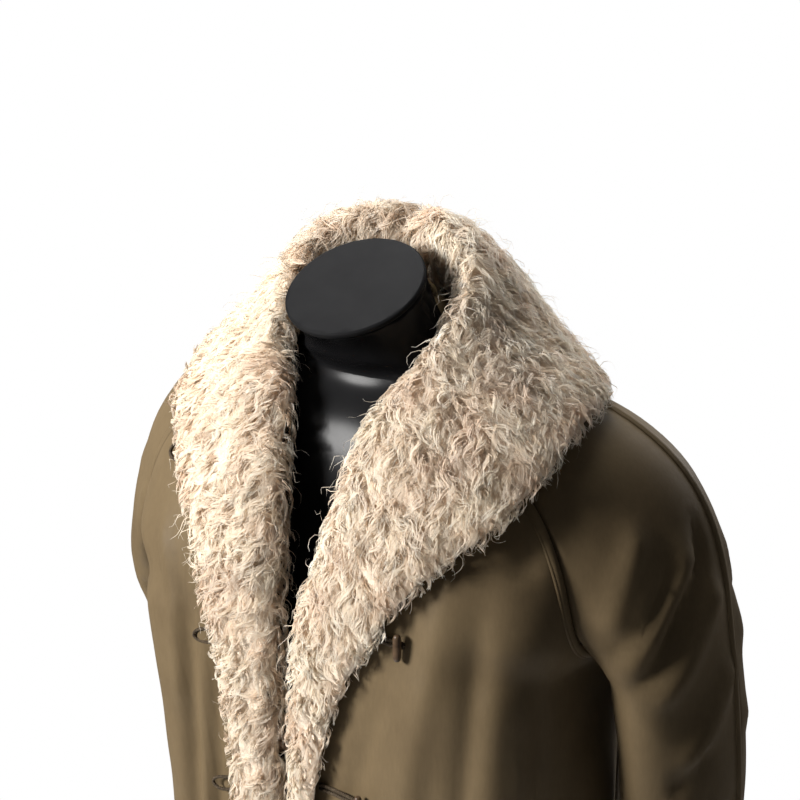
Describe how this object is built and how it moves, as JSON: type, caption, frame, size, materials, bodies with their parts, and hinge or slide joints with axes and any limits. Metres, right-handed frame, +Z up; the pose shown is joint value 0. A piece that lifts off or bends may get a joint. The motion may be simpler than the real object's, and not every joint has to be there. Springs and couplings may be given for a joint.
{
  "type": "open coat with fur shawl collar on a limbless dress form",
  "caption": "Three-quarter coat with raglan sleeves and a shaggy shawl collar, worn open on a dress form that stands on a round foot.",
  "frame": {"origin": "middle of the foot's underside, on the floor", "axes": "+Z up, the coat faces -Y and the wearer's left is +X"},
  "size_m": [0.6567, 0.3677, 1.5659],
  "materials": {
    "coat_cloth": "fine twill with a soft sheen",
    "fur_pelt": "long curly pile",
    "loop_cord": "round braid",
    "toggle_horn": "satin",
    "form_gloss": "gloss",
    "form_cap": "matt",
    "form_metal": "brushed"
  },
  "bodies": {
    "root": {"coat_back": "coat_cloth", "coat_front_left": "coat_cloth", "coat_front_right": "coat_cloth", "sleeve_front_left": "coat_cloth", "sleeve_back_left": "coat_cloth", "sleeve_front_right": "coat_cloth", "sleeve_back_right": "coat_cloth", "undercollar": "coat_cloth", "fur_collar_left": "fur_pelt", "fur_collar_right": "fur_pelt", "loop_right_1": "loop_cord", "loop_right_2": "loop_cord", "loop_right_3": "loop_cord", "loop_right_4": "loop_cord", "toggle_cord_left_1": "loop_cord", "toggle_cord_left_2": "loop_cord", "toggle_cord_left_3": "loop_cord", "toggle_left_1": "toggle_horn", "toggle_left_2": "toggle_horn", "toggle_left_3": "toggle_horn", "dress_form": "form_gloss", "form_neck_cap": "form_cap", "form_pole": "form_metal", "form_foot": "form_metal"}
  },
  "joints": []
}
